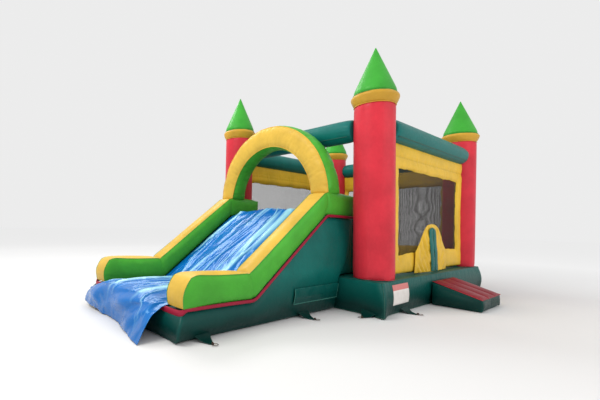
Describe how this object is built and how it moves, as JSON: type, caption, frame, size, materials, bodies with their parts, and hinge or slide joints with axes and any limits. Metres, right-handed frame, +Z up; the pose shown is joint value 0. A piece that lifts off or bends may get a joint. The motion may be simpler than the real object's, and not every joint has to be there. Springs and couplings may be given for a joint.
{
  "type": "inflatable bounce house with slide",
  "caption": "Inflatable castle bounce house with round corner towers, netted walls, a slit door with an entrance ramp, and a side slide under an arch.",
  "frame": {"origin": "middle of the footprint, on the ground", "axes": "+X to the right along the entrance side, with the slide at the -X end; +Y from the entrance to the rear; +Z up"},
  "size_m": [7.3954, 4.7924, 3.93],
  "materials": {
    "red_vinyl": "glossy coated fabric",
    "green_vinyl": "glossy coated fabric",
    "dark_green_vinyl": "glossy coated fabric",
    "teal_vinyl": "glossy coated fabric",
    "yellow_vinyl": "glossy coated fabric",
    "gold_vinyl": "glossy coated fabric",
    "blue_vinyl": "high gloss coated fabric",
    "trim_vinyl": "glossy coated fabric",
    "netting": "open mesh",
    "label_film": "printed film, blank",
    "steel": "zinc plated",
    "webbing": "woven strap"
  },
  "bodies": {
    "bouncer": {"tower_front_left": "red_vinyl", "collar_front_left": "gold_vinyl", "cone_front_left": "green_vinyl", "tower_front_right": "red_vinyl", "collar_front_right": "gold_vinyl", "cone_front_right": "green_vinyl", "tower_rear_left": "red_vinyl", "collar_rear_left": "gold_vinyl", "cone_rear_left": "green_vinyl", "tower_rear_right": "red_vinyl", "collar_rear_right": "gold_vinyl", "cone_rear_right": "green_vinyl", "base_chamber": "dark_green_vinyl", "base_baffle_left": "dark_green_vinyl", "base_baffle_right": "dark_green_vinyl", "jump_mat": "teal_vinyl", "beam_front": "teal_vinyl", "beam_rear": "teal_vinyl", "beam_left": "teal_vinyl", "beam_right": "teal_vinyl", "wall_front": "yellow_vinyl", "net_front": "netting", "wall_rear": "yellow_vinyl", "net_rear": "netting", "wall_right": "yellow_vinyl", "net_right": "netting", "ramp_chamber": "dark_green_vinyl", "ramp_pad": "red_vinyl", "care_label": "label_film", "slide_front_chamber": "dark_green_vinyl", "slide_slope_chamber": "dark_green_vinyl", "slide_deck_chamber": "dark_green_vinyl", "climbing_stair": "dark_green_vinyl", "slide_wall_near_run": "green_vinyl", "slide_wall_near_slope": "green_vinyl", "slide_wall_near_deck": "green_vinyl", "slide_wall_far_run": "green_vinyl", "slide_wall_far_slope": "green_vinyl", "slide_wall_far_deck": "green_vinyl", "slide_arch": "yellow_vinyl", "slide_trim": "trim_vinyl", "slide_cover": "blue_vinyl", "zip_tape": "netting", "anchor_tab_slide_front": "dark_green_vinyl", "anchor_tab_slide_rear": "dark_green_vinyl", "anchor_tab_left": "dark_green_vinyl", "anchor_tab_front": "dark_green_vinyl"},
    "door_left": {"door_flap_left": "yellow_vinyl", "door_binding_left": "teal_vinyl"},
    "door_right": {"door_flap_right": "yellow_vinyl", "door_binding_right": "teal_vinyl"},
    "zip_cover": {"zip_cover_flap": "teal_vinyl"},
    "zip_pull": {"zip_slider": "steel"},
    "apron": {"cover_apron": "blue_vinyl"},
    "sleeve": {"blower_sleeve": "dark_green_vinyl", "sleeve_strap": "webbing"},
    "ring_slide_front": {"anchor_ring_slide_front": "steel"},
    "ring_slide_rear": {"anchor_ring_slide_rear": "steel"},
    "ring_left": {"anchor_ring_left": "steel"},
    "ring_front": {"anchor_ring_front": "steel"}
  },
  "joints": [
    {"name": "door_left_swing", "type": "hinge", "parent": "bouncer", "child": "door_left", "pos_m": [1.16269, -1.5338, 0.9], "axis": [0, 0, 1], "range_deg": [-100, 0]},
    {"name": "door_right_swing", "type": "hinge", "parent": "bouncer", "child": "door_right", "pos_m": [1.96269, -1.5338, 0.9], "axis": [0, 0, 1], "range_deg": [0, 100]},
    {"name": "zip_cover_lift", "type": "hinge", "parent": "bouncer", "child": "zip_cover", "pos_m": [-1.10731, -1.0632, 0.41], "axis": [-1, 0, 0], "range_deg": [0, 150]},
    {"name": "zip_pull_slide", "type": "slide", "parent": "bouncer", "child": "zip_pull", "axis": [1, 0, 0], "range_m": [0, 0.86]},
    {"name": "apron_lift", "type": "hinge", "parent": "bouncer", "child": "apron", "pos_m": [-3.52931, 0.1442, 0.364], "axis": [0, 1, 0], "range_deg": [0, 70]},
    {"name": "sleeve_swing", "type": "hinge", "parent": "bouncer", "child": "sleeve", "pos_m": [2.66269, 1.8152, 0.126], "axis": [0, 0, 1], "range_deg": [-10, 10]},
    {"name": "ring_slide_front_lift", "type": "hinge", "parent": "bouncer", "child": "ring_slide_front", "pos_m": [-3.15731, -1.2202, 0.012], "axis": [-1, 0, 0], "range_deg": [-4, 120]},
    {"name": "ring_slide_rear_lift", "type": "hinge", "parent": "bouncer", "child": "ring_slide_rear", "pos_m": [-1.38731, -1.2202, 0.012], "axis": [-1, 0, 0], "range_deg": [-4, 120]},
    {"name": "ring_left_lift", "type": "hinge", "parent": "bouncer", "child": "ring_left", "pos_m": [-0.73171, -1.5158, 0.012], "axis": [0, 1, 0], "range_deg": [-4, 120]},
    {"name": "ring_front_lift", "type": "hinge", "parent": "bouncer", "child": "ring_front", "pos_m": [0.14269, -1.8802, 0.012], "axis": [-1, 0, 0], "range_deg": [-4, 120]}
  ]
}
